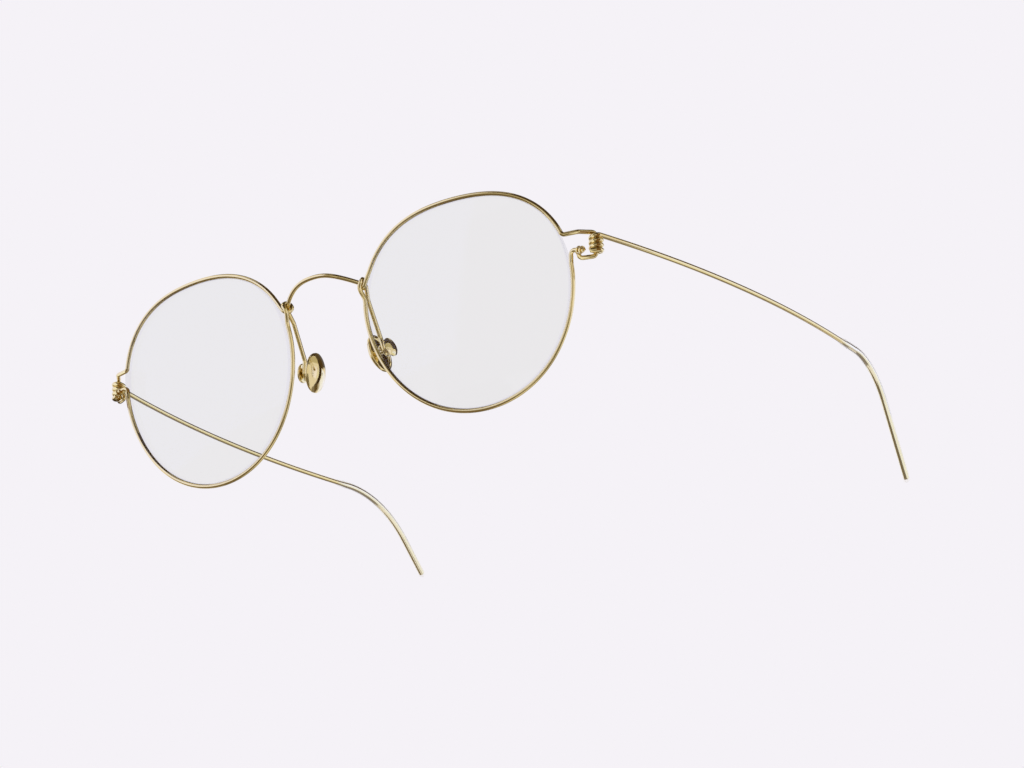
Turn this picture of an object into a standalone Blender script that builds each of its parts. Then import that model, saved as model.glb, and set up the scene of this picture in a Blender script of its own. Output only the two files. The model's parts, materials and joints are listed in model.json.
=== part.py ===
"""Round wire spectacles with coiled hinges.

The glasses are drawn in the plane of the lenses: +X to the wearer's left, +Y back to the ears, +Z up, with the
origin between the two lenses. The stand then tips them until they rest on a flat surface on the bottoms of the
two rims and on the left temple tip. Lengths are in metres.
"""
from math import acos, ceil, cos, pi, radians, sin, tan

import bmesh
import bpy
import numpy as np
from mathutils import Matrix, Vector

# Clearances
SEAT_GAP = 0.0003
WOUND_GAP = 0.00004
PIN_CLEARANCE = 0.00005
POST_CLEARANCE = 0.00008
BORE_CLEARANCE = 0.00008
GROOVE_CLEARANCE = 0.00023

# Wires
FRAME_WIRE = 0.00093
TEMPLE_WIRE = 0.00105
BEND_RADIUS = 0.0008
BEND_STEP = radians(24.0)
TURN_STEPS = 16
BEVEL_STEPS = 2
BEND_SHARE = 0.48

# Lens and rim outline, measured on the middle line of the rim wire
EYE_CENTRE = 0.03361
FACE_WRAP = radians(5.2)
BASE_CURVE = 0.1247
RIM_RADIUS = 0.0230
RIM_OVAL = 0.00092
RIM_LEAN = -0.00014
RIM_DROOP = 0.00066
RIM_FULLNESS = -0.00022
RIM_STEPS = 48
LENS_THICKNESS = 0.00185
LENS_INSET = 0.0002
LENS_CHAMFER = 0.00012
LENS_RINGS = (0.36, 0.7)
GROOVE_STEPS = 4

# Turn of the rim wire round the bridge wire, at the nose
RING_ANGLE = radians(158.0)
RING_OFFSET = 0.0013
RING_BACK = 0.0002
RING_RUN = radians(9.0)

# Bridge arch and pad arms
BRIDGE_RISE = 0.00355
BRIDGE_PROUD = 0.0034
BRIDGE_CROWN = 0.0030
BRIDGE_SHOULDER = 0.0059
BRIDGE_END = (0.692, 0.566, -0.449)
BRIDGE_PAST_RING = 0.00075
ARM_BEND = (-0.0006, 0.0008, -0.0030)
BRIDGE_STEPS = 12

# Nose pads, placed from the bend of the bridge wire past the ring
PAD_PLACE = (-0.0016, 0.0038, -0.01377)
PAD_LENGTH = 0.0084
PAD_WIDTH = 0.0069
PAD_DOME = 0.0020
PAD_EDGE = 0.0005
PAD_YAW = radians(-1.7)
PAD_TILT = radians(12.2)
PAD_ROLL = radians(-3.0)
PAD_SEGMENTS = 20
PAD_RINGS = 6
POST_DIAMETER = 0.0010
CAP_DIAMETER = 0.0041
CAP_EDGE = 0.00035
CAP_DOME = 0.0006
CAP_RINGS = 4
CAP_SEGMENTS = 20
EYE_TURNS = 1.0
EYE_KNEE = 0.0024
EYE_LEAN = 0.0010

# Hinge: the rim wire's two arms and the pin between them
UPPER_LEAVE = radians(19.0)
LOWER_LEAVE = radians(4.0)
PIN_OUT = 0.00465
PIN_BACK = 0.0033
PIN_UP = 0.0048
PIN_LENGTH = 0.00522
PIN_LEAN = radians(14.1)
PIN_SPLAY = radians(1.2)
UPPER_ARM = (-0.00237, -0.00306, 0.00042)
LOWER_KNEE = (0.0002, 0.0006, -0.00095)
STUB_RISE = (0.0001, 0.0006, 0.00285)
STUB = (0.00308, -0.00035, -0.00092)
KNOT_WIRE = 0.0004
KNOT_TURNS = 1.75
KNOT_PITCH = 0.00076

# Temple: coil, bowed wire and tip
COIL_TURNS = 3.144
COIL_LIFT = 0.0009
COIL_TURN_GAP = 0.00002
TAIL_LENGTH = 0.0012
TEMPLE_LENGTH = 0.0895
TEMPLE_DROP = radians(10.55)
TEMPLE_SPLAY = radians(11.75)
TEMPLE_BOW = radians(15.7)
TEMPLE_STEPS = 12
SLEEVE_DIAMETER = 0.0016
SLEEVE_END = 0.0007
TIP_STEPS = 12
TIPS = {
    "left": {
        "length": 0.045,
        "straight": 0.0085,
        "radius": 0.0165,
        "bend": radians(60.0),
        "inward": radians(2.0),
    },
    "right": {
        "length": 0.041,
        "straight": 0.005,
        "radius": 0.033,
        "bend": radians(42.5),
        "inward": radians(-9.0),
    },
}

# Small flats where the glasses rest
REST_FLAT = 0.0001
REST_CUTTER = 0.006
REST_TRIES = 20

# How close points are joined
JOIN = 0.000001

# Finishes
GOLD = (0.79, 0.64, 0.33, 1.0)
GOLD_ROUGHNESS = 0.15
LENS_CLEAR = (0.93, 0.94, 0.95, 1.0)
LENS_ROUGHNESS = 0.02
SLEEVE_CLEAR = (0.93, 0.90, 0.82, 1.0)
SLEEVE_ROUGHNESS = 0.15
SLEEVE_TRANSMISSION = 0.6


def unit(vector):
    vector = np.asarray(vector, float)
    return vector / np.linalg.norm(vector)


def square_to(vector, axis):
    """The unit part of a vector that is square to an axis."""
    return unit(vector - np.dot(vector, axis) * axis)


def rounded(corners, radius=BEND_RADIUS):
    """A bent wire's middle line: straight runs between corners, with an arc at each corner."""
    corners = [np.asarray(corner, float) for corner in corners]
    points = [corners[0]]
    for before, corner, after in zip(corners, corners[1:], corners[2:]):
        come = unit(corner - before)
        leave = unit(after - corner)
        turn = acos(max(-1.0, min(1.0, float(np.dot(come, leave)))))
        if turn < radians(1.0):
            points.append(corner)
            continue
        room = BEND_SHARE * min(np.linalg.norm(corner - before), np.linalg.norm(after - corner))
        bend = min(radius, room / tan(turn / 2))
        start = corner - come * bend * tan(turn / 2)
        across = square_to(leave, come)
        steps = max(2, ceil(turn / BEND_STEP))
        for step in range(steps + 1):
            angle = turn * step / steps
            points.append(start + come * bend * sin(angle) + across * bend * (1 - cos(angle)))
    points.append(corners[-1])
    return points


def wound(centre, first, second, radius, climb, turns, start=0.0):
    """Turns about a centre that moves by climb in each turn, from the first direction towards the second."""
    steps = max(2, round(abs(turns) * TURN_STEPS))
    points = []
    for step in range(steps + 1):
        part = turns * step / steps
        angle = start + 2 * pi * part
        points.append(centre + climb * part + radius * (cos(angle) * first + sin(angle) * second))
    return points


def eased(start, start_way, end, end_way, steps, pull=0.4):
    """A smooth run between two points that leaves and arrives along the given directions."""
    reach = pull * np.linalg.norm(end - start)
    near = start + unit(start_way) * reach
    far = end - unit(end_way) * reach
    points = []
    for step in range(steps + 1):
        t = step / steps
        s = 1 - t
        points.append(s ** 3 * start + 3 * s * s * t * near + 3 * s * t * t * far + t ** 3 * end)
    return points


def rim_radius(angle):
    return (RIM_RADIUS + RIM_OVAL * cos(2 * angle) + RIM_LEAN * sin(2 * angle)
            + RIM_DROOP * sin(3 * angle) + RIM_FULLNESS * cos(4 * angle))


def eye_point(angle, scale=1.0, inset=0.0, depth=0.0):
    """A point of the left eye: on the curved sheet that the rim wire's middle line lies in, or behind it."""
    radius = rim_radius(angle) * scale - inset
    across = radius * cos(angle)
    sag = radius ** 2 / (2 * BASE_CURVE) + depth
    return np.array([
        EYE_CENTRE + across * cos(FACE_WRAP) - sag * sin(FACE_WRAP),
        across * sin(FACE_WRAP) + sag * cos(FACE_WRAP),
        radius * sin(angle),
    ])


def rim_way(angle):
    """The rim's direction at an angle, for a run from the top down past the temple side."""
    step = radians(0.5)
    return unit(eye_point(angle - step) - eye_point(angle + step))


def rim_run(start, end):
    """Points of the rim between two angles, on the same spokes as the lens."""
    spoke = 2 * pi / RIM_STEPS
    points = [eye_point(start)]
    number = ceil(start / spoke) - 1
    while number * spoke > end + spoke / 4:
        if number * spoke < start - spoke / 4:
            points.append(eye_point(number * spoke))
        number -= 1
    points.append(eye_point(end))
    return points


def ring_frame():
    """The rim wire's turn at the nose: its centre, the bridge wire's way through it, its front and its top."""
    way = unit(BRIDGE_END)
    centre = eye_point(RING_ANGLE, inset=-RING_OFFSET, depth=RING_BACK)
    front = square_to(np.array([0.0, -1.0, 0.0]), way)
    return centre, way, front, np.cross(front, way)


def pin_frame():
    """The hinge pin: its middle and its axis, upwards."""
    middle = eye_point(0.0) + np.array([PIN_OUT, PIN_BACK, PIN_UP])
    axis = unit([tan(PIN_SPLAY), tan(PIN_LEAN), 1.0])
    return middle, axis


def rim_wire_points():
    """The whole rim wire of one side, from its stub to the knot, and how thick it is at each point."""
    stub_root = eye_point(LOWER_LEAVE) + np.array(STUB_RISE)
    stub_end = stub_root + np.array(STUB)
    last_spoke = eye_point(LOWER_LEAVE - 2 * pi / RIM_STEPS)
    stub = rounded([stub_end, stub_root, eye_point(LOWER_LEAVE), last_spoke])[:-1]

    centre, way, front, top = ring_frame()
    radius = FRAME_WIRE + WOUND_GAP
    climb = way * (FRAME_WIRE + WOUND_GAP)
    turn = wound(centre - climb / 2, front, top, radius, climb, 1.0)
    below = RING_ANGLE + RING_RUN
    above = RING_ANGLE - RING_RUN
    bottom = rim_run(LOWER_LEAVE, below - 2 * pi)[1:]
    rise = eased(bottom[-1], rim_way(below), turn[0], top, 3)[1:-1]
    leave = eased(turn[-1], top, eye_point(above), rim_way(above), 3)[1:-1]
    over = rim_run(above, UPPER_LEAVE)

    middle, axis = pin_frame()
    pin_top = middle + axis * PIN_LENGTH / 2
    pin_bottom = middle - axis * PIN_LENGTH / 2
    along = unit(STUB)
    under = square_to(np.array([0.0, 0.0, -1.0]), along)
    ahead = square_to(square_to(np.array([0.0, -1.0, 0.0]), along), under)
    hold = (FRAME_WIRE + KNOT_WIRE) / 2 + WOUND_GAP
    knot_start = stub_end - along * (KNOT_PITCH * KNOT_TURNS + KNOT_WIRE / 2)
    knot = wound(knot_start, under, ahead, hold, along * KNOT_PITCH, KNOT_TURNS)
    corners = [over[-2], over[-1], pin_top + np.array(UPPER_ARM), pin_top, pin_bottom,
               knot[0] + np.array(LOWER_KNEE), knot[0]]
    hinge = rounded(corners)[1:]
    thick = stub + bottom + rise + turn + leave + over[:-1] + hinge[:-1]
    return thick + knot, [1.0] * len(thick) + [KNOT_WIRE / FRAME_WIRE] * len(knot)


def kink_point():
    """Where the bridge wire bends down into the pad arm, just past the ring."""
    centre, way = ring_frame()[:2]
    return centre + way * BRIDGE_PAST_RING


def post_frame():
    """The left pad's post: the middle of the pad's back, and the pad's ways out, up and to the front."""
    out = np.array([cos(PAD_YAW) * cos(PAD_TILT), sin(PAD_YAW) * cos(PAD_TILT), sin(PAD_TILT)])
    upright = square_to(np.array([0.0, 0.0, 1.0]), out)
    up = upright * cos(PAD_ROLL) + np.cross(out, upright) * sin(PAD_ROLL)
    return kink_point() + np.array(PAD_PLACE), out, up, np.cross(out, up)


def eye_length():
    """The room that the eye of the pad arm takes along the post."""
    return FRAME_WIRE + EYE_TURNS * (FRAME_WIRE + WOUND_GAP)


def pad_arm_points():
    """One side of the bridge wire: its kink, the knee above the post and the eye round the post."""
    middle, out, up, front = post_frame()
    radius = (POST_DIAMETER + FRAME_WIRE) / 2 + POST_CLEARANCE
    far_turn = middle + out * (SEAT_GAP + eye_length() - FRAME_WIRE / 2)
    knee = far_turn + up * EYE_KNEE + front * EYE_LEAN
    eye = wound(far_turn, front, -up, radius, -out * (FRAME_WIRE + WOUND_GAP), EYE_TURNS)
    return kink_point(), knee, eye


def bridge_wire_points():
    """The whole bridge wire: eye, pad arm, arch, pad arm, eye."""
    centre, way = ring_frame()[:2]
    start = centre - way * FRAME_WIRE / 2
    crown = np.array([0.0, centre[1] - BRIDGE_PROUD, centre[2] + BRIDGE_RISE])
    near = crown + np.array([BRIDGE_CROWN, 0.0, 0.0])
    far = start - way * BRIDGE_SHOULDER
    arch = []
    for step in range(BRIDGE_STEPS + 1):
        t = step / BRIDGE_STEPS
        s = 1 - t
        arch.append(s ** 3 * crown + 3 * s * s * t * near + 3 * s * t * t * far + t ** 3 * start)
    kink, knee, eye = pad_arm_points()
    half = arch[:-1] + rounded([arch[-1], kink, kink + np.array(ARM_BEND), knee, eye[0]]) + eye[1:]
    mirrored = [point * np.array([-1.0, 1.0, 1.0]) for point in half[:0:-1]]
    return mirrored + half


def temple_points():
    """One temple wire as far as the sleeve: tail, coil and bowed wire, and its way at the sleeve."""
    middle, axis = pin_frame()
    pin_bottom = middle - axis * PIN_LENGTH / 2
    radius = (FRAME_WIRE + TEMPLE_WIRE) / 2 + PIN_CLEARANCE
    pitch = TEMPLE_WIRE + COIL_TURN_GAP
    base = pin_bottom + axis * COIL_LIFT

    def heading(angle):
        return np.array([sin(angle), cos(angle) * cos(TEMPLE_DROP), -cos(angle) * sin(TEMPLE_DROP)])

    outer = square_to(np.cross(heading(TEMPLE_SPLAY), axis), axis)
    rear = np.cross(axis, outer)
    start = -2 * pi * COIL_TURNS
    coil = wound(base, outer, rear, radius, axis * pitch, COIL_TURNS, start=start)
    first_way = -sin(start) * outer + cos(start) * rear
    tail = coil[0] - first_way * TAIL_LENGTH
    bow_radius = TEMPLE_LENGTH / TEMPLE_BOW
    points = [tail] + coil
    place = coil[-1]
    for step in range(1, TEMPLE_STEPS + 1):
        before = TEMPLE_SPLAY - TEMPLE_BOW * (step - 1) / TEMPLE_STEPS
        after = TEMPLE_SPLAY - TEMPLE_BOW * step / TEMPLE_STEPS
        chord = 2 * bow_radius * sin(TEMPLE_BOW / TEMPLE_STEPS / 2)
        place = place + heading((before + after) / 2) * chord
        points.append(place)
    return points, heading(TEMPLE_SPLAY - TEMPLE_BOW)


def tip_points(start, way, tip, length):
    """A temple tip's middle line: a straight run, an arc and a straight end, as far as a length."""
    down = square_to(np.array([0.0, 0.0, -1.0]), way)
    inward = square_to(np.array([-1.0, 0.0, 0.0]) - np.dot([-1.0, 0.0, 0.0], down) * down, way)
    turn = down * cos(tip["inward"]) + inward * sin(tip["inward"])
    arc = tip["radius"] * tip["bend"]

    def place(s):
        angle = min(max(s - tip["straight"], 0.0), arc) / tip["radius"]
        bent = start + way * (min(s, tip["straight"]) + tip["radius"] * sin(angle))
        bent = bent + turn * tip["radius"] * (1 - cos(angle))
        rest = max(s - tip["straight"] - arc, 0.0)
        return bent + (way * cos(angle) + turn * sin(angle)) * rest

    stops = {0.0, tip["straight"], length}
    stops.update(tip["straight"] + arc * step / TIP_STEPS for step in range(1, TIP_STEPS + 1))
    return [place(s) for s in sorted(stop for stop in stops if stop <= length)]


def material(name, colour, roughness, metallic=0.0, clear=0.0):
    made = bpy.data.materials.new(name)
    made.use_nodes = True
    shader = made.node_tree.nodes["Principled BSDF"]
    shader.inputs["Base Color"].default_value = colour
    shader.inputs["Roughness"].default_value = roughness
    shader.inputs["Metallic"].default_value = metallic
    shader.inputs["Transmission Weight"].default_value = clear
    return made


def empty(name, parent=None, place=(0.0, 0.0, 0.0)):
    made = bpy.data.objects.new(name, None)
    bpy.data.collections["round_eyeglasses"].objects.link(made)
    made.parent = parent
    made.location = place
    return made


def put(name, data, finish, parent, collection="round_eyeglasses"):
    made = bpy.data.objects.new(name, data)
    bpy.data.collections[collection].objects.link(made)
    made.parent = parent
    if finish:
        data.materials.append(finish)
    return made


def wire(name, points, diameter, finish, parent, caps=True, thickness=()):
    """A bent wire: a poly curve with a round bevel. Its points are given from the origin between the lenses."""
    data = bpy.data.curves.new(name, "CURVE")
    data.dimensions = "3D"
    data.bevel_depth = diameter / 2
    data.bevel_resolution = BEVEL_STEPS
    data.use_fill_caps = caps
    spline = data.splines.new("POLY")
    spline.points.add(len(points) - 1)
    origin = np.array(parent.location) if parent.parent else np.zeros(3)
    for knot, point in zip(spline.points, points):
        knot.co = (*(point - origin), 1.0)
    for knot, scale in zip(spline.points, thickness):
        knot.radius = scale
    return put(name, data, finish, parent)


def as_mesh(curve):
    """The curve's tube as a mesh object with its ends closed, in place of the curve."""
    bpy.context.view_layer.update()
    name = curve.name
    parent = curve.parent
    collection = curve.users_collection[0]
    evaluated = curve.evaluated_get(bpy.context.evaluated_depsgraph_get())
    data = bpy.data.meshes.new_from_object(evaluated)
    bpy.data.objects.remove(curve)
    shape = bmesh.new()
    shape.from_mesh(data)
    bmesh.ops.remove_doubles(shape, verts=shape.verts, dist=JOIN)
    shape.to_mesh(data)
    shape.free()
    made = bpy.data.objects.new(name, data)
    collection.objects.link(made)
    made.parent = parent
    return made


def smooth(made, angle=radians(40.0)):
    made.data.shade_smooth()
    made.data.set_sharp_from_angle(angle=angle)


def lofted(name, rings, ends, finish, parent):
    """A closed mesh: each ring of points is joined to the next, and the first and last ring to an end point."""
    shape = bmesh.new()
    loops = [[shape.verts.new(point) for point in ring] for ring in rings]
    for loop, after in zip(loops, loops[1:]):
        for spot in range(len(loop)):
            beside = (spot + 1) % len(loop)
            shape.faces.new((loop[spot], loop[beside], after[beside], after[spot]))
    for loop, end in ((loops[0], ends[0]), (loops[-1], ends[1])):
        middle = shape.verts.new(end)
        for spot in range(len(loop)):
            shape.faces.new((loop[spot], loop[(spot + 1) % len(loop)], middle))
    bmesh.ops.recalc_face_normals(shape, faces=shape.faces)
    data = bpy.data.meshes.new(name)
    shape.to_mesh(data)
    shape.free()
    made = put(name, data, finish, parent)
    smooth(made)
    return made


def lens(name, mirror, finish, parent):
    """A lens lofted through its own outline: front, edge with a groove for the rim wire, and back."""
    half = LENS_THICKNESS / 2
    groove = FRAME_WIRE / 2 + GROOVE_CLEARANCE
    lip = acos(LENS_INSET / groove)
    rows = [(scale, LENS_INSET, -half) for scale in LENS_RINGS]
    rows.append((1.0, LENS_INSET + LENS_CHAMFER, -half))
    for step in range(GROOVE_STEPS + 1):
        turn = lip * (2 * step / GROOVE_STEPS - 1)
        rows.append((1.0, groove * cos(turn), groove * sin(turn)))
    rows.append((1.0, LENS_INSET + LENS_CHAMFER, half))
    rows.extend((scale, LENS_INSET, half) for scale in reversed(LENS_RINGS))

    angles = [2 * pi * spoke / RIM_STEPS for spoke in range(RIM_STEPS)]
    rings = []
    for scale, inset, depth in rows:
        rings.append([eye_point(angle, scale, inset, depth) * mirror for angle in angles])
    ends = [eye_point(0.0, 0.0, 0.0, depth) * mirror for depth in (-half, half)]
    return lofted(name, rings, ends, finish, parent)


def pad_matrix(mirror):
    """The turn of a piece behind a pad: its own Z runs out from the nose and its Y up the pad."""
    out, up = post_frame()[1:3]
    turned = np.diag(mirror) @ np.column_stack([np.cross(up, out), up, out]) @ np.diag(mirror)
    return Matrix(turned.tolist()).to_4x4()


def nose_pad(name, mirror, finish, parent):
    """An oval button: a flat back, a short upright edge and a low dome on the nose side."""
    rows = [(1.0, 0.0)]
    for step in range(PAD_RINGS):
        turn = pi / 2 * step / PAD_RINGS
        rows.append((cos(turn), PAD_EDGE + (PAD_DOME - PAD_EDGE) * sin(turn) ** 2))
    angles = [2 * pi * spot / PAD_SEGMENTS for spot in range(PAD_SEGMENTS)]
    rings = []
    for share, height in rows:
        wide = share * PAD_WIDTH / 2
        tall = share * PAD_LENGTH / 2
        rings.append([(wide * cos(angle), tall * sin(angle), -height) for angle in angles])
    made = lofted(name, rings, [(0.0, 0.0, 0.0), (0.0, 0.0, -PAD_DOME)], finish, parent)
    made.matrix_local = pad_matrix(mirror)
    return made


def pad_post(name, mirror, finish, parent):
    """The short round post through the eye of the pad arm."""
    shape = bmesh.new()
    bmesh.ops.create_cone(shape, cap_ends=True, segments=TURN_STEPS, radius1=POST_DIAMETER / 2,
                          radius2=POST_DIAMETER / 2, depth=eye_length())
    bmesh.ops.translate(shape, verts=shape.verts, vec=(0.0, 0.0, SEAT_GAP + eye_length() / 2))
    data = bpy.data.meshes.new(name)
    shape.to_mesh(data)
    shape.free()
    made = put(name, data, finish, parent)
    made.matrix_local = pad_matrix(mirror)
    smooth(made)
    return made


def pad_cap(name, mirror, finish, parent):
    """The round domed cap over the post: half of its profile, turned about the post's axis."""
    seat = eye_length() + 2 * SEAT_GAP
    profile = []
    for step in range(CAP_RINGS + 1):
        turn = pi / 2 * (1 - step / CAP_RINGS)
        profile.append((CAP_DIAMETER / 2 * cos(turn), 0.0, seat + CAP_EDGE + CAP_DOME * sin(turn)))
    profile.append((CAP_DIAMETER / 2, 0.0, seat))
    profile.append((0.0, 0.0, seat))
    data = bpy.data.meshes.new(name)
    data.from_pydata(profile, [(i, i + 1) for i in range(len(profile) - 1)], [])
    made = put(name, data, finish, parent)
    made.matrix_local = pad_matrix(mirror)
    turn = made.modifiers.new("turn", "SCREW")
    turn.steps = CAP_SEGMENTS
    turn.render_steps = CAP_SEGMENTS
    turn.use_merge_vertices = True
    turn.merge_threshold = JOIN
    return made


def tip_sleeve(name, points, finish, parent):
    """A clear tube over the end of the temple wire, open at the front and closed at the tip."""
    made = as_mesh(wire(name, points, SLEEVE_DIAMETER, finish, parent, caps=False))
    shape = bmesh.new()
    shape.from_mesh(made.data)
    loops = sorted((edge for edge in shape.edges if edge.is_boundary),
                   key=lambda edge: (edge.verts[0].co - Vector(points[-1] - np.array(parent.location))).length)
    bmesh.ops.holes_fill(shape, edges=loops[:len(loops) // 2])
    bmesh.ops.recalc_face_normals(shape, faces=shape.faces)
    shape.to_mesh(made.data)
    shape.free()
    wall = made.modifiers.new("wall", "SOLIDIFY")
    wall.thickness = (SLEEVE_DIAMETER - TEMPLE_WIRE) / 2 - BORE_CLEARANCE
    wall.offset = -1.0
    wall.use_even_offset = True
    return made


def upwards(pitch):
    return np.array([0.0, sin(pitch), cos(pitch)])


def underside(points, diameter, pitch):
    """The lowest place on a round wire once the glasses are tipped by the pitch."""
    up = upwards(pitch)
    places = []
    for before, point, after in zip([points[0]] + points, points, points[1:] + [points[-1]]):
        places.append(point - square_to(up, unit(after - before)) * diameter / 2)
    return min(places, key=lambda place: np.dot(place, up))


def resting_pitch(rim, tip):
    """The pitch at which the bottoms of the rims and of the left temple tip are level."""
    pitch = 0.0
    for _ in range(REST_TRIES):
        reach = underside(tip, SLEEVE_DIAMETER, pitch) - underside(rim, FRAME_WIRE, pitch)
        pitch = float(np.arctan2(-reach[2], reach[1]))
    return pitch


def rest_cut(made, points, diameter, pitch, stand):
    """Cut a small level flat where a wire rests: a box, level once the stand is tipped."""
    low = underside(points, diameter, pitch)
    top = np.dot(low, upwards(pitch)) + REST_FLAT
    level = Vector((low[0], low[1] * cos(pitch) - low[2] * sin(pitch), top - REST_CUTTER / 2))
    shape = bmesh.new()
    bmesh.ops.create_cube(shape, size=REST_CUTTER)
    data = bpy.data.meshes.new(made.name + "_rest")
    shape.to_mesh(data)
    shape.free()
    cutter = put(made.name + "_rest", data, None, stand, collection="cutters")
    cutter.matrix_local = Matrix.Rotation(-pitch, 4, "X") @ Matrix.Translation(level)
    cutter.hide_render = True
    cutter.display_type = "WIRE"
    cut = made.modifiers.new("rest", "BOOLEAN")
    cut.operation = "DIFFERENCE"
    cut.object = cutter


def world_box(objects):
    """The lowest and highest corners of the finished pieces."""
    depsgraph = bpy.context.evaluated_depsgraph_get()
    corners = []
    for made in objects:
        evaluated = made.evaluated_get(depsgraph)
        data = evaluated.to_mesh()
        corners.extend(made.matrix_world @ vert.co for vert in data.vertices)
        evaluated.to_mesh_clear()
    corners = np.array(corners)
    return corners.min(axis=0), corners.max(axis=0)


def build():
    for old in list(bpy.data.objects):
        bpy.data.objects.remove(old)
    for name in ("round_eyeglasses", "cutters"):
        bpy.context.scene.collection.children.link(bpy.data.collections.new(name))

    gold = {
        name: material(name + "_gold", GOLD, GOLD_ROUGHNESS, metallic=1.0)
        for name in ("rim_wire", "bridge_wire", "temple_wire", "nose_pad", "pad_post", "pad_cap")
    }
    clear = material("lens_clear", LENS_CLEAR, LENS_ROUGHNESS, clear=1.0)
    plastic = material("sleeve_clear", SLEEVE_CLEAR, SLEEVE_ROUGHNESS, clear=SLEEVE_TRANSMISSION)

    stand = empty("stand")
    rim, thickness = rim_wire_points()
    temple, temple_way = temple_points()
    pitch = resting_pitch(rim, tip_points(temple[-1], temple_way, TIPS["left"], TIPS["left"]["length"]))
    wire("bridge_wire", bridge_wire_points(), FRAME_WIRE, gold["bridge_wire"], stand)
    for name in TIPS:
        mirror = np.array([1.0 if name == "left" else -1.0, 1.0, 1.0])
        lens(name + "_lens", mirror, clear, stand)
        own_rim = [point * mirror for point in rim]
        rim_wire = as_mesh(wire(name + "_rim_wire", own_rim, FRAME_WIRE, gold["rim_wire"], stand,
                                thickness=thickness))
        rest_cut(rim_wire, own_rim, FRAME_WIRE, pitch, stand)

        hinge = empty(name + "_hinge", stand, pin_frame()[0] * mirror)
        length = TIPS[name]["length"]
        core = tip_points(temple[-1], temple_way, TIPS[name], length - SLEEVE_END)
        wire(name + "_temple_wire", [point * mirror for point in temple + core[1:]], TEMPLE_WIRE,
             gold["temple_wire"], hinge)
        tip = [point * mirror for point in tip_points(temple[-1], temple_way, TIPS[name], length)]
        sleeve = tip_sleeve(name + "_tip_sleeve", tip, plastic, hinge)
        if name == "left":
            rest_cut(sleeve, tip, SLEEVE_DIAMETER, pitch, stand)

        pivot = empty(name + "_pad_pivot", stand, post_frame()[0] * mirror)
        nose_pad(name + "_nose_pad", mirror, gold["nose_pad"], pivot)
        pad_post(name + "_pad_post", mirror, gold["pad_post"], pivot)
        pad_cap(name + "_pad_cap", mirror, gold["pad_cap"], pivot)

    stand.rotation_euler = (pitch, 0.0, 0.0)
    bpy.context.view_layer.update()
    pieces = [made for made in bpy.data.collections["round_eyeglasses"].objects if made.type != "EMPTY"]
    low, high = world_box(pieces)
    stand.location = (-(low[0] + high[0]) / 2, -(low[1] + high[1]) / 2, -low[2])
    bpy.context.view_layer.update()


build()
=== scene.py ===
"""Round wire eyeglasses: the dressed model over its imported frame.

Shapes are worked out in the plane of the lenses, with +X to the wearer's left, +Y back to the ears, +Z up and
the origin between the two lenses, and are then tipped and moved as the glasses stand. Lengths are in metres.
"""

import json
from math import acos, atan2, cos, pi, radians, sin, tan

import bmesh
import bpy
import numpy as np
from bpy.props import FloatProperty, FloatVectorProperty, PointerProperty
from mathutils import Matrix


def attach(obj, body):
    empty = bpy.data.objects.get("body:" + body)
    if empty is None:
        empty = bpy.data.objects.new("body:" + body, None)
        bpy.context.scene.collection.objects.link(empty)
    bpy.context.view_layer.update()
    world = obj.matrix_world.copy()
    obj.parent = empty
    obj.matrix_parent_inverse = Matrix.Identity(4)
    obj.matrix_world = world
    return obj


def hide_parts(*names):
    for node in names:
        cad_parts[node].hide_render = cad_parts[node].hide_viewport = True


bl_info = {
    "name": "Round Eyeglasses",
    "version": (1, 0, 0),
    "blender": (4, 5, 0),
    "location": "View3D > Sidebar > Eyeglasses",
    "description": "Builds round wire eyeglasses over their packed frame",
    "category": "Object",
}

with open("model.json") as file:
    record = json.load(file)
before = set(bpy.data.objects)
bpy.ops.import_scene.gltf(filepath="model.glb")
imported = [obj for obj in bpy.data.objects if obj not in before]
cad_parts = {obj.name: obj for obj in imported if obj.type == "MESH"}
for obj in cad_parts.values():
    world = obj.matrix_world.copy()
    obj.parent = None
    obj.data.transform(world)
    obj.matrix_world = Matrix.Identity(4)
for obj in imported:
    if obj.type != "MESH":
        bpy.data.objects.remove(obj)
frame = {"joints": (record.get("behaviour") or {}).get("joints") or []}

# Clearances
SEAT_GAP = 0.0003
WOUND_GAP = 0.00004
PIN_CLEARANCE = 0.00005
POST_CLEARANCE = 0.00008
GROOVE_CLEARANCE = 0.00012

# Bends and wire ends
BEND_RADIUS = 0.0008
BEND_SHARE = 0.48
EASE_REACH = 0.4
WIRE_END_SOFT = 0.3
SLEEVE_END_SOFT = 0.8
END_ROOM = 1.2
START_ACROSS = (0.31, 0.55, 0.77)

# Lens and rim outline
EYE_CENTRE = 0.03361
FACE_WRAP = radians(5.2)
BASE_CURVE = 0.1247
RIM_RADIUS = 0.0230
RIM_OVAL = 0.00092
RIM_LEAN = -0.00014
RIM_DROOP = 0.00066
RIM_FULLNESS = -0.00022
RIM_SMALL_STEP = 0.01
GROOVE_INSET = 0.0004
LENS_LAST_ROW = 0.98
LENS_EDGE_SOFT = 0.00012

# Turn round the bridge wire, and the bridge arch
RING_ANGLE = radians(158.0)
RING_OFFSET = 0.0013
RING_BACK = 0.0002
RING_RUN = radians(9.0)
BRIDGE_RISE = 0.00355
BRIDGE_PROUD = 0.0034
BRIDGE_CROWN = 0.0030
BRIDGE_SHOULDER = 0.0059
BRIDGE_END = (0.692, 0.566, -0.449)
BRIDGE_PAST_RING = 0.00075
ARM_BEND = (-0.0006, 0.0008, -0.0030)

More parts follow.
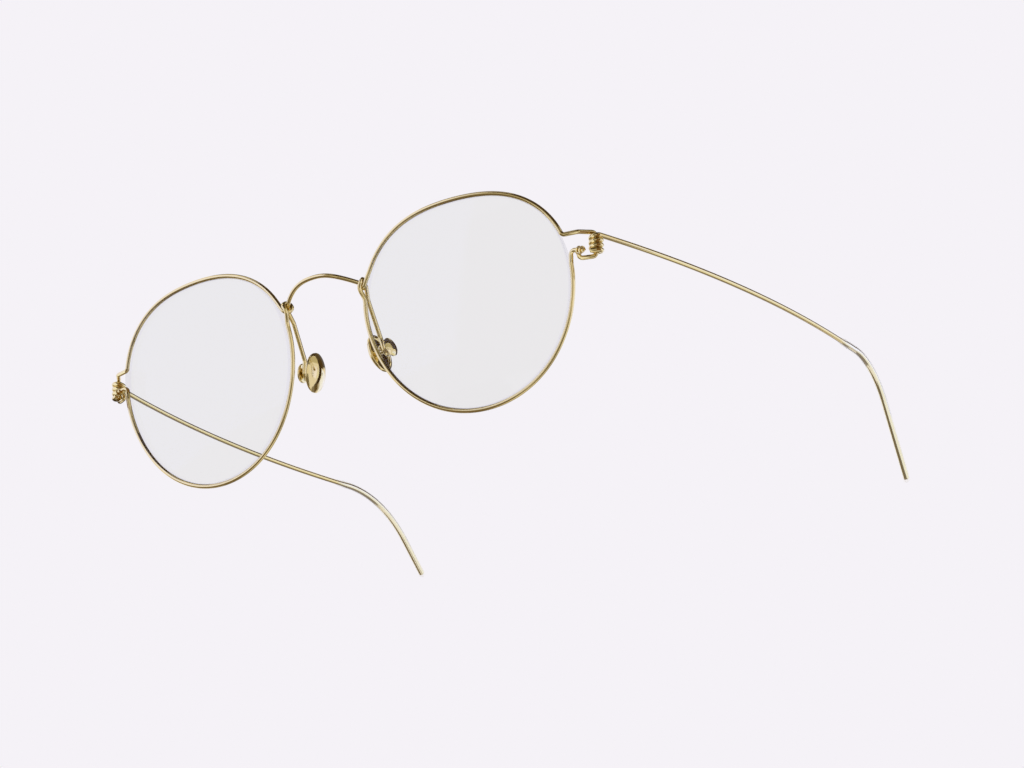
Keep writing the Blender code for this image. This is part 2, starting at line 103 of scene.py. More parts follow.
# Nose pads
PAD_PLACE = (-0.0016, 0.0038, -0.01377)
PAD_LENGTH = 0.0084
PAD_WIDTH = 0.0069
PAD_YAW = radians(-1.7)
PAD_TILT = radians(12.2)
PAD_ROLL = radians(-3.0)
PAD_RECESS = 0.00045
PAD_RIM = 0.0005
PAD_WELL = 0.80
PAD_WALL = 0.10
PAD_CREST = 0.955
PAD_LIP = 0.045
PAD_LIP_DROP = 0.0002
POST_DIAMETER = 0.0010
CAP_DIAMETER = 0.0041
CAP_EDGE = 0.00035
CAP_DOME = 0.0006
CAP_SOFT = 0.00014
DOME_FULLNESS = 1.8
EYE_TURNS = 1.0
EYE_KNEE = 0.0024
EYE_LEAN = 0.0010

# Hinge
UPPER_LEAVE = radians(19.0)
LOWER_LEAVE = radians(4.0)
LEAVE_RUN = radians(3.0)
STUB_RUN = radians(7.5)
PIN_OUT = 0.00465
PIN_BACK = 0.0033
PIN_UP = 0.0048
PIN_LENGTH = 0.00522
PIN_LEAN = radians(14.1)
PIN_SPLAY = radians(1.2)
UPPER_ARM = (-0.00237, -0.00306, 0.00042)
LOWER_KNEE = (0.0002, 0.0006, -0.00095)
STUB_RISE = (0.0001, 0.0006, 0.00285)
STUB = (0.00308, -0.00035, -0.00092)
KNOT_TURNS = 1.75
KNOT_PITCH = 0.00076

# Temple
COIL_TURNS = 3.144
COIL_LIFT = 0.0009
COIL_TURN_GAP = 0.00002
TAIL_LENGTH = 0.0012
TEMPLE_LENGTH = 0.0895
TEMPLE_DROP = radians(10.55)
TEMPLE_SPLAY = radians(11.75)
TEMPLE_BOW = radians(15.7)
SLEEVE_DIAMETER = 0.0016
SLEEVE_END = 0.0007
SLEEVE_TAPER = 0.0030
CORE_RADIUS = 0.00066
CORE_START = 0.5
TIPS = {
    "left": {"length": 0.045, "straight": 0.0085, "radius": 0.0165, "bend": radians(60.0),
             "inward": radians(2.0)},
    "right": {"length": 0.041, "straight": 0.005, "radius": 0.033, "bend": radians(42.5),
              "inward": radians(-9.0)},
}
SIDES = {"left": 1.0, "right": -1.0}

# Fineness of lines and surfaces
BEND_POINTS = 9
TURN_STEPS = 48
EASE_STEPS = 10
RIM_STEP = radians(1.5)
ARCH_STEPS = 40
BOW_STEPS = 90
TIP_POINTS = 120
TUBE_SIDES = 20
TUBE_SPACING = 0.00016
TUBE_END_POINTS = 6
LENS_SIDES = 180
LENS_ROWS = 22
GROOVE_ROWS = 13
PAD_SIDES = 96
PAD_WELL_ROWS = 9
PAD_FILLET_ROWS = 7
PAD_DOME_ROWS = 24
CAP_EDGE_ROWS = 6
CAP_DOME_ROWS = 16
MERGE_DISTANCE = 1e-7
SLIVER_LENGTH = 1e-8
SHARP_ANGLE = radians(50.0)

# Finishes
GLOSS = {"rim": 0.07, "bridge": 0.07, "temple": 0.08, "pad": 0.10, "cap": 0.05, "post": 0.10}
BLOTCH_SCALE = 260.0
BLOTCH_DETAIL = 3.0
BLOTCH_TONE = (0.93, 1.05)
HAIR_ROUGHNESS = 0.04
HAIR_BUMP = 0.05
HAIR_DEPTH = 0.00001
WIRE_HAIR = (60.0, 24.0, 1.0)
PAD_HAIR = (900.0, 900.0, 150.0)
HAZE_RANGE = (0.45, 0.75)
# Painted shade on the lens edge: a greyer tint that stands in for the dark line that a glass edge shows
LENS_EDGE_SHADE_START = 0.85
LENS_EDGE_SHADE_COLOUR = (0.82, 0.82, 0.86)

# View
VIEW_AZIMUTH = radians(30.68)
VIEW_ELEVATION = radians(-10.47)
VIEW_ROLL = radians(-10.0)
VIEW_OFFSET = (0.03762, -0.00904, 0.7243)
VIEW_LENS = 123.07
SENSOR_WIDTH = 36.0

# Studio
FLOOR_HALF = 2.0
FLOOR_ROUGHNESS = 0.7
ROOM_LEVEL = 0.62
SQUARE = ((-1.0, -1.0), (1.0, -1.0), (1.0, 1.0), (-1.0, 1.0))
TIP_CARD_POINT = 80

# Painted reflections: each card is a glowing panel, seen only in the metal's reflections, that paints a
# bright or a dark band there; the near ones paint single reflections on the pad, the hinge coils and the
# tips.
# Each card: its name, the place it is seen from, its azimuth there from straight back round by the wearer's
# left, its elevation, width and height in degrees, its distance, and the colour that it shows
CARDS = (
    ("front_card", "pad", 175.0, 12.0, 70.0, 34.0, 1.42, (0.52, 0.49, 0.46)),
    ("right_card", "pad", 88.0, -20.0, 60.0, 84.0, 1.40, (0.92, 0.92, 1.10)),
    ("gleam_card", "pad", 84.0, -12.0, 24.0, 44.0, 1.38, (1.10, 1.15, 1.80)),
    ("dusk_card", "pad", 80.0, 32.0, 70.0, 20.0, 1.36, (0.60, 0.57, 0.50)),
    ("ceiling_card", "pad", 140.0, 54.0, 80.0, 54.0, 1.34, (0.07, 0.05, 0.03)),
    ("left_ceiling_card", "pad", 62.0, 64.0, 90.0, 44.0, 1.32, (0.07, 0.05, 0.03)),
    ("rear_ceiling_card", "pad", -5.0, 60.0, 60.0, 50.0, 1.30, (0.10, 0.08, 0.06)),
    ("low_front_card", "pad", -130.0, -40.0, 88.0, 64.0, 1.28, (0.20, 0.16, 0.11)),
    ("low_left_card", "pad", 150.0, -36.0, 62.0, 54.0, 1.26, (0.22, 0.20, 0.17)),
    ("rear_corner_card", "pad", 26.0, 24.0, 40.0, 26.0, 1.24, (0.10, 0.075, 0.05)),
    ("low_back_card", "pad", 0.0, -57.0, 76.0, 38.0, 1.22, (0.28, 0.25, 0.24)),
    ("low_right_card", "pad", -38.0, -24.0, 30.0, 34.0, 1.21, (0.26, 0.25, 0.32)),
    ("rear_card", "pad", -1.0, 19.0, 46.0, 18.0, 1.23, (0.13, 0.12, 0.14)),
    ("key_card", "pad", -120.0, 26.0, 76.0, 54.0, 1.20, (1.05, 1.12, 1.80)),
    ("shine_card", "pad", 20.0, -11.0, 74.0, 30.0, 1.18, (1.08, 1.22, 2.00)),
    ("slope_card", "pad", 34.0, -32.0, 44.0, 14.0, 1.17, (0.62, 0.60, 0.70)),
    ("nose_card", "pad", 50.0, -12.0, 20.0, 76.0, 0.03, (0.05, 0.03, 0.015)),
    ("brow_card", "pad", 30.0, 17.0, 26.0, 20.0, 0.03, (0.09, 0.06, 0.03)),
    ("chin_card", "pad", 36.0, -46.0, 30.0, 16.0, 0.03, (0.14, 0.10, 0.05)),
    ("left_tip_card", "left_tip", 101.0, -22.0, 134.0, 64.0, 0.03, (0.98, 1.02, 1.13)),
    ("right_tip_card", "right_tip", 101.0, -22.0, 134.0, 64.0, 0.03, (0.98, 1.02, 1.13)),
    ("left_coil_dark_card", "left_pin", 114.0, -10.0, 58.0, 84.0, 0.006, (0.21, 0.12, 0.05)),
    ("left_coil_gleam_card", "left_pin", -163.0, -20.0, 38.0, 62.0, 0.006, (1.10, 1.15, 1.40)),
    ("right_coil_dark_card", "right_pin", 128.0, -8.0, 84.0, 70.0, 0.006, (0.26, 0.16, 0.07)),
    ("right_coil_gleam_card", "right_pin", -150.0, -2.0, 66.0, 50.0, 0.006, (1.10, 1.20, 1.60)),
    ("right_coil_foot_card", "right_foot", -50.0, -14.0, 100.0, 56.0, 0.003, (0.07, 0.05, 0.03)),
    ("left_tip_top_card", "left_tip", -1.0, 20.0, 46.0, 20.0, 0.03, (0.42, 0.43, 0.48)),
    ("right_tip_top_card", "right_tip", -1.0, 20.0, 46.0, 20.0, 0.03, (0.42, 0.43, 0.48)),
)

# Each lamp: its name, its place, its width and its power in watts
LAMPS = (
    ("side_lamp", (1.8, 0.65, 1.20), 0.9, 26.0),
    ("fill_lamp", (-0.6, -0.8, 0.5), 0.8, 1.0),
    ("rear_lamp", (-0.2, 0.9, 0.85), 0.8, 2.4),
)


def unit(vectors):
    """Each row of an array, or one vector, divided by its length."""
    vectors = np.asarray(vectors, float)
    return vectors / np.linalg.norm(vectors, axis=-1, keepdims=True)


def square_to(vector, axis):
    """The unit part of a vector that is square to an axis."""
    return unit(vector - np.dot(vector, axis) * axis)


def bent(corners):
    """A line through corners with an arc at each: start + come * R sin(a) + across * R (1 - cos(a))."""
    corners = [np.asarray(corner, float) for corner in corners]
    parts = [corners[0][None]]
    for before, corner, after in zip(corners, corners[1:], corners[2:]):
        come, leave = unit(corner - before), unit(after - corner)
        turn = acos(float(np.clip(np.dot(come, leave), -1.0, 1.0)))
        room = BEND_SHARE * min(np.linalg.norm(corner - before), np.linalg.norm(after - corner))
        bend = min(BEND_RADIUS, room / tan(turn / 2))
        angle = np.linspace(0.0, turn, BEND_POINTS)[:, None]
        across = square_to(leave, come)
        start = corner - come * bend * tan(turn / 2)
        parts.append(start + come * bend * np.sin(angle) + across * bend * (1 - np.cos(angle)))
    parts.append(corners[-1][None])
    return np.concatenate(parts)


def wound(centre, first, second, radius, climb, turns, start=0.0):
    """A helix: centre + climb * t + radius * (cos(a) * first + sin(a) * second), with a = start + 2 pi t."""
    part = np.linspace(0.0, turns, int(abs(turns) * TURN_STEPS) + 1)[:, None]
    angle = start + 2 * pi * part
    return centre + climb * part + radius * (np.cos(angle) * first + np.sin(angle) * second)


def cubic(start, near, far, end, steps):
    """The Bezier cubic s^3 start + 3 s^2 t near + 3 s t^2 far + t^3 end, with s = 1 - t."""
    t = np.linspace(0.0, 1.0, steps + 1)[:, None]
    s = 1 - t
    return s ** 3 * start + 3 * s * s * t * near + 3 * s * t * t * far + t ** 3 * end


def eased(start, start_way, end, end_way):
    """A cubic that leaves and arrives along the given directions."""
    reach = EASE_REACH * np.linalg.norm(end - start)
    return cubic(start, start + unit(start_way) * reach, end - unit(end_way) * reach, end, EASE_STEPS)


def eye_points(angle, scale=1.0, inset=0.0, depth=0.0):
    """The left eye's sheet: r = R + a cos 2A + b sin 2A + c sin 3A + d cos 4A, set back by r^2 / (2 C)."""
    radius = (RIM_RADIUS + RIM_OVAL * np.cos(2 * angle) + RIM_LEAN * np.sin(2 * angle)
              + RIM_DROOP * np.sin(3 * angle) + RIM_FULLNESS * np.cos(4 * angle)) * scale - inset
    across = radius * np.cos(angle)
    sag = radius ** 2 / (2 * BASE_CURVE) + depth
    return np.stack([
        EYE_CENTRE + across * cos(FACE_WRAP) - sag * sin(FACE_WRAP),
        across * sin(FACE_WRAP) + sag * cos(FACE_WRAP),
        radius * np.sin(angle),
    ], axis=-1)


def rim_way(angle):
    """The rim's direction at an angle, for a run from the top down past the temple side."""
    return unit(eye_points(angle - RIM_SMALL_STEP) - eye_points(angle + RIM_SMALL_STEP))


def rim_run(start, end):
    """The rim's line between two angles, with even steps in the angle."""
    return eye_points(np.linspace(start, end, int(abs(start - end) / RIM_STEP) + 2))


def ring_frame():
    """The turn at the nose: its centre, the bridge wire's way through it, its front and its top."""
    way = unit(BRIDGE_END)
    centre = eye_points(RING_ANGLE, inset=-RING_OFFSET, depth=RING_BACK)
    front = square_to(np.array([0.0, -1.0, 0.0]), way)
    return centre, way, front, np.cross(front, way)


def pin_frame():
    """The hinge pin: its middle and its axis, upwards."""
    middle = eye_points(0.0) + np.array([PIN_OUT, PIN_BACK, PIN_UP])
    return middle, unit([tan(PIN_SPLAY), tan(PIN_LEAN), 1.0])


def rim_path(sizes):
    """The rim wire's line, from its stub round the eye, the nose and the pin to the knot, and its radius."""
    stub_root = eye_points(LOWER_LEAVE) + np.array(STUB_RISE)
    stub_end = stub_root + np.array(STUB)
    stub = bent([stub_end, stub_root, eye_points(LOWER_LEAVE), eye_points(LOWER_LEAVE - STUB_RUN)])[:-1]
    centre, way, front, top = ring_frame()
    climb = way * (sizes.frame_wire + WOUND_GAP)
    turn = wound(centre - climb / 2, front, top, sizes.frame_wire + WOUND_GAP, climb, 1.0)
    below, above = RING_ANGLE + RING_RUN, RING_ANGLE - RING_RUN
    bottom = rim_run(LOWER_LEAVE - LEAVE_RUN, below - 2 * pi)
    rise = eased(bottom[-1], rim_way(below), turn[0], top)[1:-1]
    leave = eased(turn[-1], top, eye_points(above), rim_way(above))[1:-1]
    over = rim_run(above, UPPER_LEAVE + LEAVE_RUN)

    middle, axis = pin_frame()
    pin_top = middle + axis * PIN_LENGTH / 2
    pin_bottom = middle - axis * PIN_LENGTH / 2
    along = unit(STUB)
    under = square_to(np.array([0.0, 0.0, -1.0]), along)
    ahead = square_to(square_to(np.array([0.0, -1.0, 0.0]), along), under)
    hold = (sizes.frame_wire + sizes.knot_wire) / 2 + WOUND_GAP
    knot_start = stub_end - along * (KNOT_PITCH * KNOT_TURNS + sizes.knot_wire / 2)
    knot = wound(knot_start, under, ahead, hold, along * KNOT_PITCH, KNOT_TURNS)
    hinge = bent([over[-1], eye_points(UPPER_LEAVE), pin_top + np.array(UPPER_ARM), pin_top, pin_bottom,
                  knot[0] + np.array(LOWER_KNEE), knot[0]])[1:-1]
    thick = np.concatenate([stub, bottom, rise, turn, leave, over, hinge])
    radius = np.full(len(thick) + len(knot), sizes.frame_wire / 2)
    radius[len(thick):] = sizes.knot_wire / 2
    return np.concatenate([thick, knot]), radius


def kink_point():
    """Where the bridge wire bends down into the pad arm, just past the ring."""
    centre, way = ring_frame()[:2]
    return centre + way * BRIDGE_PAST_RING


def post_frame():
    """The middle of the left pad's back, and the pad's ways out, up and to the front."""
    out = np.array([cos(PAD_YAW) * cos(PAD_TILT), sin(PAD_YAW) * cos(PAD_TILT), sin(PAD_TILT)])
    upright = square_to(np.array([0.0, 0.0, 1.0]), out)
    up = upright * cos(PAD_ROLL) + np.cross(out, upright) * sin(PAD_ROLL)
    return kink_point() + np.array(PAD_PLACE), out, up, np.cross(out, up)


def eye_length(sizes):
    """The room that the eye of the pad arm takes along the post."""
    return sizes.frame_wire + EYE_TURNS * (sizes.frame_wire + WOUND_GAP)


def bridge_path(sizes):
    """The bridge wire's line: a cubic arch, the pad arms and a helix round each post, mirrored in X = 0."""
    centre, way = ring_frame()[:2]
    start = centre - way * sizes.frame_wire / 2
    crown = np.array([0.0, centre[1] - BRIDGE_PROUD, centre[2] + BRIDGE_RISE])
    arch = cubic(crown, crown + np.array([BRIDGE_CROWN, 0.0, 0.0]), start - way * BRIDGE_SHOULDER, start,
                 ARCH_STEPS)
    middle, out, up, ahead = post_frame()
    far_turn = middle + out * (SEAT_GAP + eye_length(sizes) - sizes.frame_wire / 2)
    knee = far_turn + up * EYE_KNEE + ahead * EYE_LEAN
    hold = (POST_DIAMETER + sizes.frame_wire) / 2 + POST_CLEARANCE
    eye = wound(far_turn, ahead, -up, hold, -out * (sizes.frame_wire + WOUND_GAP), EYE_TURNS)
    kink = kink_point()
    arm = bent([arch[-1], kink, kink + np.array(ARM_BEND), knee, eye[0]])[:-1]
    half = np.concatenate([arch[:-1], arm, eye])
    return np.concatenate([half[:0:-1] * np.array([-1.0, 1.0, 1.0]), half])


def heading(angle):
    """A temple's direction in its own sloping plane, turned outwards by an angle."""
    forth = np.cos(angle)
    return np.stack([np.sin(angle), forth * cos(TEMPLE_DROP), -forth * sin(TEMPLE_DROP)], axis=-1)


def temple_path(sizes):
    """The temple wire's line to the sleeve: tail, helix round the pin, and a bow summed from its headings."""
    middle, axis = pin_frame()
    radius = (sizes.frame_wire + sizes.temple_wire) / 2 + PIN_CLEARANCE
    base = middle - axis * (PIN_LENGTH / 2 - COIL_LIFT)
    outer = square_to(np.cross(heading(TEMPLE_SPLAY), axis), axis)
    rear = np.cross(axis, outer)
    start = -2 * pi * COIL_TURNS
    climb = axis * (sizes.temple_wire + COIL_TURN_GAP)
    coil = wound(base, outer, rear, radius, climb, COIL_TURNS, start=start)
    first_way = -sin(start) * outer + cos(start) * rear
    angles = TEMPLE_SPLAY - TEMPLE_BOW * (np.arange(BOW_STEPS) + 0.5) / BOW_STEPS
    bow = coil[-1] + np.cumsum(heading(angles) * TEMPLE_LENGTH / BOW_STEPS, axis=0)
    return np.concatenate([(coil[0] - first_way * TAIL_LENGTH)[None], coil, bow])


def tip_path(start, tip, length):
    """A tip's line: straight, then an arc R sin(a), R (1 - cos(a)), then straight again, up to a length."""
    way = heading(np.array(TEMPLE_SPLAY - TEMPLE_BOW))
    down = square_to(np.array([0.0, 0.0, -1.0]), way)
    inward = np.array([-1.0, 0.0, 0.0])
    inward = square_to(inward - np.dot(inward, down) * down, way)
    turn = down * cos(tip["inward"]) + inward * sin(tip["inward"])
    radius, arc = tip["radius"], tip["radius"] * tip["bend"]
    s = np.linspace(0.0, length, TIP_POINTS)[:, None]
    angle = np.clip(s - tip["straight"], 0.0, arc) / radius
    rest = np.maximum(s - tip["straight"] - arc, 0.0)
    straight = np.minimum(s, tip["straight"])
    return (start + way * (straight + radius * np.sin(angle)) + turn * radius * (1 - np.cos(angle))
            + (way * np.cos(angle) + turn * np.sin(angle)) * rest)


def place_of_stand():
    """How the glasses stand: the turn about X and the move that bring the left pin to the frame's joint."""
    joint = next(joint for joint in frame["joints"] if joint["name"] == "left_temple_fold")
    middle, axis = pin_frame()
    pitch = atan2(axis[1], axis[2]) - atan2(joint["axis"][1], joint["axis"][2])
    turn = np.array([[1.0, 0.0, 0.0], [0.0, cos(pitch), -sin(pitch)], [0.0, sin(pitch), cos(pitch)]])
    return turn, np.array(joint["pos_m"]) - turn @ middle


TURN, MOVE = place_of_stand()


def standing(points, side=1.0):
    """Points of the lens plane as they stand, mirrored for the right side."""
    return (points * np.array([side, 1.0, 1.0])) @ TURN.T + MOVE


def lengths_along(points):
    """How far along a line each of its points lies."""
    return np.concatenate([[0.0], np.cumsum(np.linalg.norm(np.diff(points, axis=0), axis=1))])


def read_off(stops, length, rows):
    """Rows of three numbers, known at some lengths along a line, read off at others."""
    return np.stack([np.interp(stops, length, rows[:, axis]) for axis in range(3)], axis=1)


def even_line(points, values):
    """A line with its points an even way apart, each averaged with its neighbours with weights 1 4 6 4 1."""
    length = lengths_along(points)
    stops = np.linspace(0.0, length[-1], int(length[-1] / TUBE_SPACING) + 1)
    line = read_off(stops, length, points)
    values = np.interp(stops, length, values)
    middle = (line[:-4] + 4 * line[1:-3] + 6 * line[2:-2] + 4 * line[3:-1] + line[4:]) / 16
    return np.concatenate([line[:2], middle, line[-2:]]), values


def round_end(radius, soft):
    """A wire's end: how far in each ring lies and its radius, flat with an edge rounded by a share."""
    angle = np.linspace(0.0, pi / 2, TUBE_END_POINTS)
    edge = radius * soft
    return np.append(0.0, edge * (1 - np.cos(angle))), np.append(0.0, radius - edge * (1 - np.sin(angle)))


def untwisted(along):
    """Two directions square to a line's own and to each other, carried along the line without twist."""
    first = np.array(START_ACROSS)
    first = unit(first - (along @ first)[:, None] * along)
    second = np.cross(along, first)
    swing = np.cross(along[:-1], along[1:])
    lean = 1 + np.sum(along[:-1] * along[1:], axis=1, keepdims=True)
    carried = first[:-1] + np.cross(swing, first[:-1]) + np.cross(swing, np.cross(swing, first[:-1])) / lean
    slip = np.arctan2(np.sum(carried * second[1:], axis=1), np.sum(carried * first[1:], axis=1))
    back = -np.concatenate([[0.0], np.cumsum(slip)])[:, None]
    across = np.cos(back) * first + np.sin(back) * second
    return across, np.cross(along, across)


def tube_grid(points, radius, soft=WIRE_END_SOFT):
    """A round section carried along a line without twist, its ends rounded off; also the length along it."""
    points, radius = even_line(points, radius)
    length = lengths_along(points)
    first_at, first_size = round_end(radius[0], soft)
    last_at, last_size = round_end(radius[-1], soft)
    inner = (length > first_at[-1] * END_ROOM) & (length < length[-1] - last_at[-1] * END_ROOM)
    stops = np.concatenate([first_at, length[inner], length[-1] - last_at[::-1]])
    size = np.concatenate([first_size, radius[inner], last_size[::-1]])
    line = read_off(stops, length, points)
    along = unit(read_off(stops, length, unit(np.gradient(points, axis=0))))
    across, beside = untwisted(along)
    angle = np.linspace(0.0, 2 * pi, TUBE_SIDES, endpoint=False)[None, :, None]
    section = np.cos(angle) * across[:, None] + np.sin(angle) * beside[:, None]
    return line[:, None] + size[:, None, None] * section, stops


def grid_piece(name, grid, body, node, material, along=None):
    """A mesh from a grid of closed rings, the first and last of which may be a point, with faces outwards."""
    rings, sides = grid.shape[:2]
    number = np.arange(rings * sides).reshape(rings, sides)
    beside = np.roll(number, -1, axis=1)
    faces = np.stack([number[:-1], beside[:-1], beside[1:], number[1:]], axis=-1).reshape(-1, 4)
    data = bpy.data.meshes.new(name)
    data.from_pydata(grid.reshape(-1, 3), [], faces.tolist())
    if along is not None:
        share = np.arange(sides + 1) / sides
        here, there = along[:-1, None], along[1:, None]
        corners = np.stack([
            np.stack([np.repeat(length, sides, 1), np.tile(part, (rings - 1, 1))], -1)
            for length, part in ((here, share[:-1]), (here, share[1:]),
                                 (there, share[1:]), (there, share[:-1]))
        ], axis=2)
        data.uv_layers.new(name="wire").data.foreach_set("uv", corners.ravel().astype(np.float32))
    shape = bmesh.new()
    shape.from_mesh(data)
    bmesh.ops.remove_doubles(shape, verts=shape.verts, dist=MERGE_DISTANCE)
    bmesh.ops.dissolve_degenerate(shape, edges=shape.edges, dist=SLIVER_LENGTH)
    bmesh.ops.recalc_face_normals(shape, faces=shape.faces)
    shape.to_mesh(data)
    shape.free()
    data.shade_smooth()
    data.set_sharp_from_angle(angle=SHARP_ANGLE)
    data.materials.append(material)
    piece = bpy.data.objects.new(name, data)
    bpy.context.scene.collection.objects.link(piece)
    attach(piece, body)
    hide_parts(node)
    return piece


def flat_square(name, corners, material):
    """An object of one flat face with four corners."""
    data = bpy.data.meshes.new(name)
    data.from_pydata(corners.tolist(), [], [[0, 1, 2, 3]])
    data.materials.append(material)
    square = bpy.data.objects.new(name, data)
    bpy.context.scene.collection.objects.link(square)
    return square


def new_material(name):
    """A new material of nodes, its tree and its shader."""
    material = bpy.data.materials.new(name)
    material.use_nodes = True
    return material, material.node_tree, material.node_tree.nodes["Principled BSDF"]


def new_node(tree, kind, values=None, fed=None, operation=None):
    """A new node of a kind, with values on some of its inputs and other nodes' outputs on the rest."""
    node = tree.nodes.new(kind)
    if operation:
        node.operation = operation
    for key, value in (values or {}).items():
        node.inputs[key].default_value = value
    for key, output in (fed or {}).items():
        tree.links.new(output, node.inputs[key])
    return node


def map_mask(tree, place, low, high):
    """A mask that goes from 0 to 1 as the first map number goes from low to high."""
    parts = new_node(tree, "ShaderNodeSeparateXYZ", fed={"Vector": place.outputs["UV"]})
    mask = new_node(tree, "ShaderNodeMapRange", {"From Min": low, "From Max": high},
                    {"Value": parts.outputs["X"]})
    return mask.outputs["Result"]


def mixed_colour(tree, mask, first, second):
    """A colour that goes from the first to the second as a mask goes from 0 to 1."""
    mix = tree.nodes.new("ShaderNodeMix")
    mix.data_type = "RGBA"
    ends = [each for each in mix.inputs if each.type == "RGBA"]
    ends[0].default_value = (*first, 1.0)
    ends[1].default_value = (*second, 1.0)
    tree.links.new(mask, mix.inputs["Factor"])
    return next(each for each in mix.outputs if each.type == "RGBA")


def finish_with(tree, factor, first, second, output):
    """Ends a tree with a mix of two shaders, the second by a factor."""
    mix = new_node(tree, "ShaderNodeMixShader", fed={"Fac": factor, 1: first, 2: second})
    tree.links.new(mix.outputs["Shader"], tree.nodes[output].inputs["Surface"])


def polished_group():
    """A polished metal's marks: soft blotches and hair lines along the piece, as colour, gloss and height."""
    group = bpy.data.node_groups.get("polished_metal")
    if group:
        return group
    group = bpy.data.node_groups.new("polished_metal", "ShaderNodeTree")
    for name, kind in (("Colour", "Color"), ("Gloss", "Float"), ("Place", "Vector"), ("Lines", "Vector")):
        group.interface.new_socket(name, in_out="INPUT", socket_type="NodeSocket" + kind)
    for name, kind in (("Colour", "Color"), ("Roughness", "Float"), ("Height", "Float")):
        group.interface.new_socket(name, in_out="OUTPUT", socket_type="NodeSocket" + kind)
    given = new_node(group, "NodeGroupInput")
    blotch = new_node(group, "ShaderNodeTexNoise", {"Scale": BLOTCH_SCALE, "Detail": BLOTCH_DETAIL},
                      {"Vector": given.outputs["Place"]})
    hair = new_node(group, "ShaderNodeTexNoise", {"Scale": 1.0, "Detail": 1.0},
                    {"Vector": given.outputs["Lines"]})
    level = new_node(group, "ShaderNodeMapRange", {"To Min": BLOTCH_TONE[0], "To Max": BLOTCH_TONE[1]},
                     {"Value": blotch.outputs["Fac"]})
    shade = new_node(group, "ShaderNodeHueSaturation",
                     fed={"Value": level.outputs["Result"], "Color": given.outputs["Colour"]})
    rough = new_node(group, "ShaderNodeMath", {1: HAIR_ROUGHNESS},
                     {0: hair.outputs["Fac"], 2: given.outputs["Gloss"]}, "MULTIPLY_ADD")
    new_node(group, "NodeGroupOutput", fed={"Colour": shade.outputs["Color"],
                                            "Roughness": rough.outputs["Value"],
                                            "Height": hair.outputs["Fac"]})
    return group


def gold_material(name, colour, gloss, uv=True, sleeve=None):
    """Polished gold: the wire's length carries the hair lines, or the object's place where there is no wire.

    With a sleeve, which is its start along the wire and a colour, the wire has that colour from there on: a
    paler painted sheen that stands in for the bright reflection seen through the clear sleeve.
    """
    material, tree, shader = new_material(name)
    shader.inputs["Metallic"].default_value = 1.0
    place = new_node(tree, "ShaderNodeTexCoord")
    lines = new_node(tree, "ShaderNodeMapping", {"Scale": WIRE_HAIR if uv else PAD_HAIR},
                     {"Vector": place.outputs["UV" if uv else "Object"]})
    marks = tree.nodes.new("ShaderNodeGroup")
    marks.node_tree = polished_group()
    marks.inputs["Colour"].default_value = (*colour, 1.0)
    marks.inputs["Gloss"].default_value = gloss
    tree.links.new(place.outputs["Object"], marks.inputs["Place"])
    tree.links.new(lines.outputs["Vector"], marks.inputs["Lines"])
    tree.links.new(marks.outputs["Colour"], shader.inputs["Base Color"])
    tree.links.new(marks.outputs["Roughness"], shader.inputs["Roughness"])
    if sleeve:
        # Painted sheen: the wire turns to the paler colour under the sleeve
        start, sleeve_sheen_colour = sleeve
        under = map_mask(tree, place, start, start + SLEEVE_TAPER)
        tree.links.new(mixed_colour(tree, under, colour, sleeve_sheen_colour), marks.inputs["Colour"])
    bump = new_node(tree, "ShaderNodeBump", {"Strength": HAIR_BUMP, "Distance": HAIR_DEPTH},
                    {"Height": marks.outputs["Height"]})
    tree.links.new(bump.outputs["Normal"], shader.inputs["Normal"])
    return material


def clear_material(name, colour, coat, haze_scale, haze, edge=None):
    """A clear material under a thin, hazy gloss, with painted shade that darkens it on an edge, where the
    first map number is 1.
    """
    material, tree, shader = new_material(name)
    shader.inputs["Transmission Weight"].default_value = 1.0
    shader.inputs["IOR"].default_value = 1.0
    shader.inputs["Roughness"].default_value = 0.0
    shader.inputs["Coat Weight"].default_value = coat
    place = new_node(tree, "ShaderNodeTexCoord")
    film = new_node(tree, "ShaderNodeTexNoise", {"Scale": haze_scale}, {"Vector": place.outputs["Object"]})
    level = new_node(tree, "ShaderNodeMapRange",
                     {"From Min": HAZE_RANGE[0], "From Max": HAZE_RANGE[1], "To Max": haze},
                     {"Value": film.outputs["Fac"]})
    tree.links.new(level.outputs["Result"], shader.inputs["Coat Roughness"])
    if edge is None:
        shader.inputs["Base Color"].default_value = (*colour, 1.0)
    else:
        # Painted shade: the tint turns darker towards the lens edge
        mask = map_mask(tree, place, LENS_EDGE_SHADE_START, 1.0)
        tree.links.new(mixed_colour(tree, mask, colour, edge), shader.inputs["Base Color"])
    return material


class EyeglassesSizes(bpy.types.PropertyGroup):
    """Sizes of the pieces that a user would change."""

    frame_wire: FloatProperty(name="Frame wire", description="Diameter of the rim and bridge wires",
                              default=0.00093, min=0.0006, max=0.0014, subtype="DISTANCE", unit="LENGTH")
    temple_wire: FloatProperty(name="Temple wire", description="Diameter of the temple wires",
                               default=0.00105, min=0.0006, max=0.0014, subtype="DISTANCE", unit="LENGTH")
    knot_wire: FloatProperty(name="Knot wire", description="Diameter of the thin end wound round the stub",
                             default=0.0004, min=0.0002, max=0.0006, subtype="DISTANCE", unit="LENGTH")
    lens_thickness: FloatProperty(name="Lens thickness", description="Thickness of each lens",
                                  default=0.00185, min=0.001, max=0.003, subtype="DISTANCE", unit="LENGTH")
    pad_dome: FloatProperty(name="Pad dome", description="Depth of a nose pad, from back to nose side",
                            default=0.0020, min=0.001, max=0.003, subtype="DISTANCE", unit="LENGTH")


